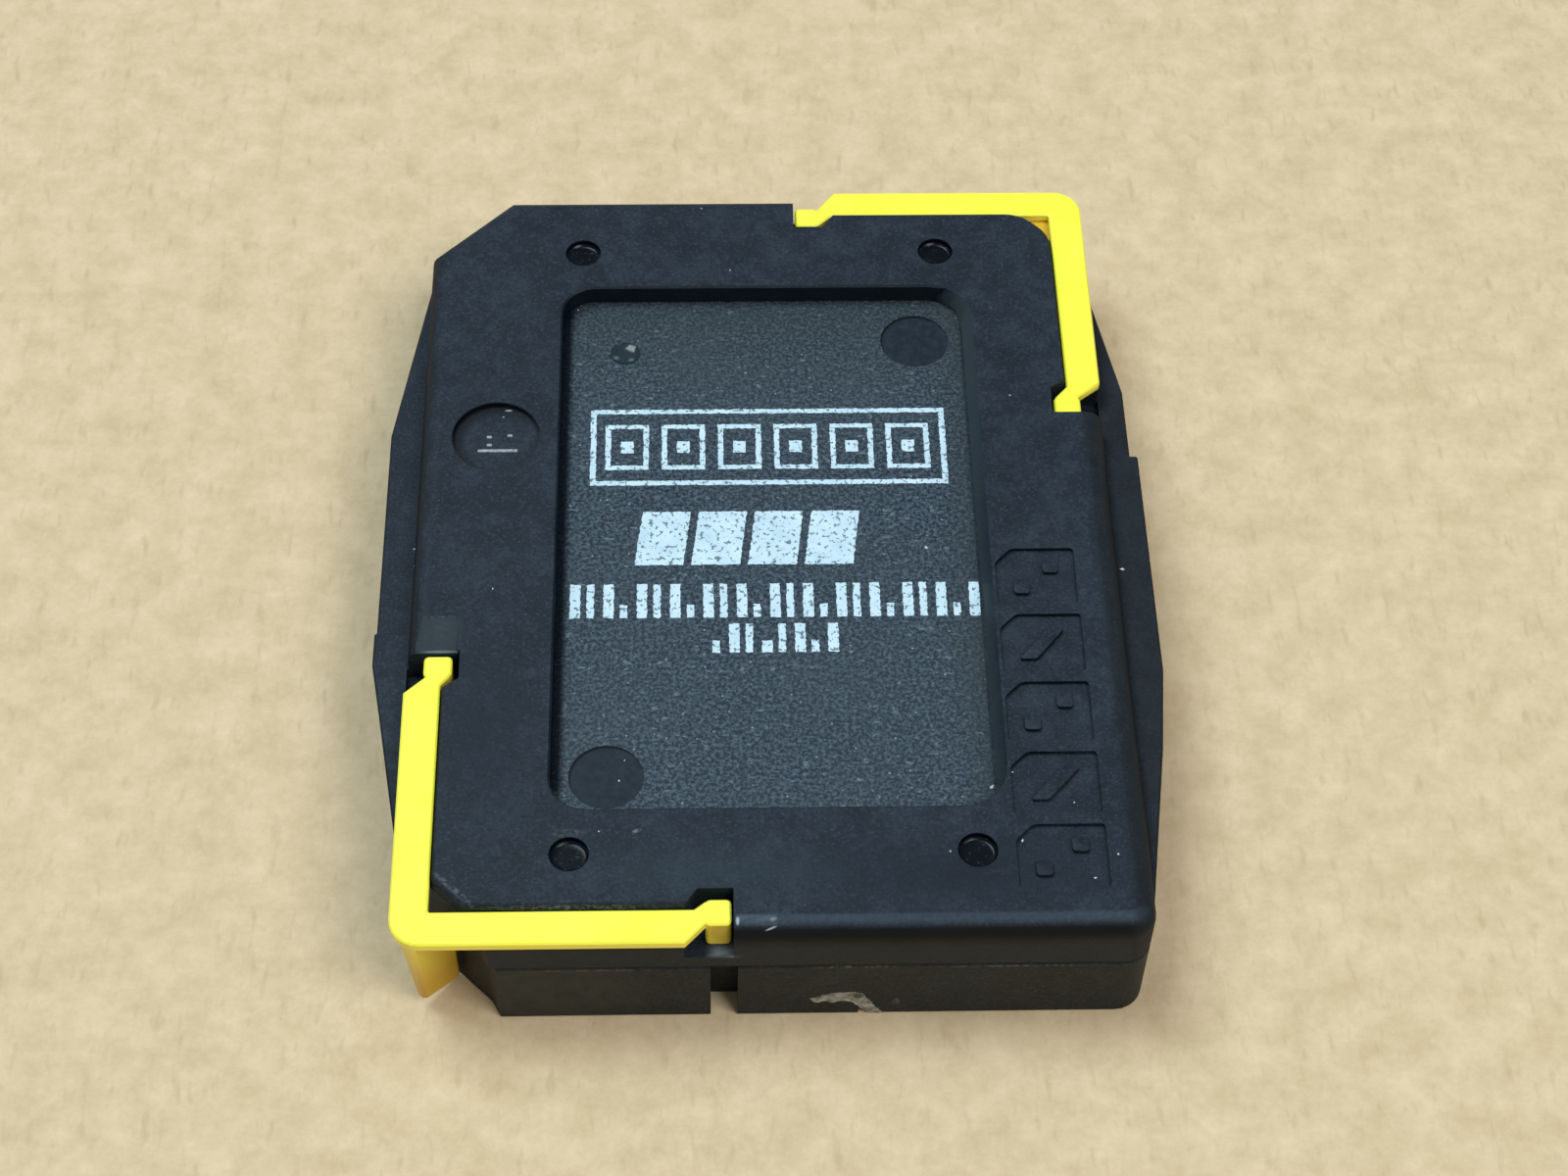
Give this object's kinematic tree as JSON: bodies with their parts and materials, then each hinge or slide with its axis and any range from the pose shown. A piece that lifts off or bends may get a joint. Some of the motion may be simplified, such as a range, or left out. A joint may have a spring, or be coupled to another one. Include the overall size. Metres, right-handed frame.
{
  "type": "logic chip in carrier",
  "caption": "Flat black logic chip with leads on all sides, held face up in a split black moulded carrier by yellow corner clips.",
  "frame": {"origin": "middle of the carrier's footprint, on the plane that its underside lies on", "axes": "+Y along the carrier's long side, away from the end that is nearest in the picture; +Z out of the chip's printed face; +X to the right"},
  "size_m": [0.0226, 0.0275, 0.0044],
  "materials": {
    "carrier plastic": "black glass-filled plastic with a light sheen",
    "chip epoxy": "speckled dark moulded epoxy, with tinned leads",
    "clip plastic": "bright yellow moulded plastic"
  },
  "bodies": {
    "root": {"upper_frame": "carrier plastic", "lower_frame": "carrier plastic", "chip_package": "chip epoxy", "clip_front_left": "clip plastic", "clip_back_right": "clip plastic"}
  },
  "joints": []
}
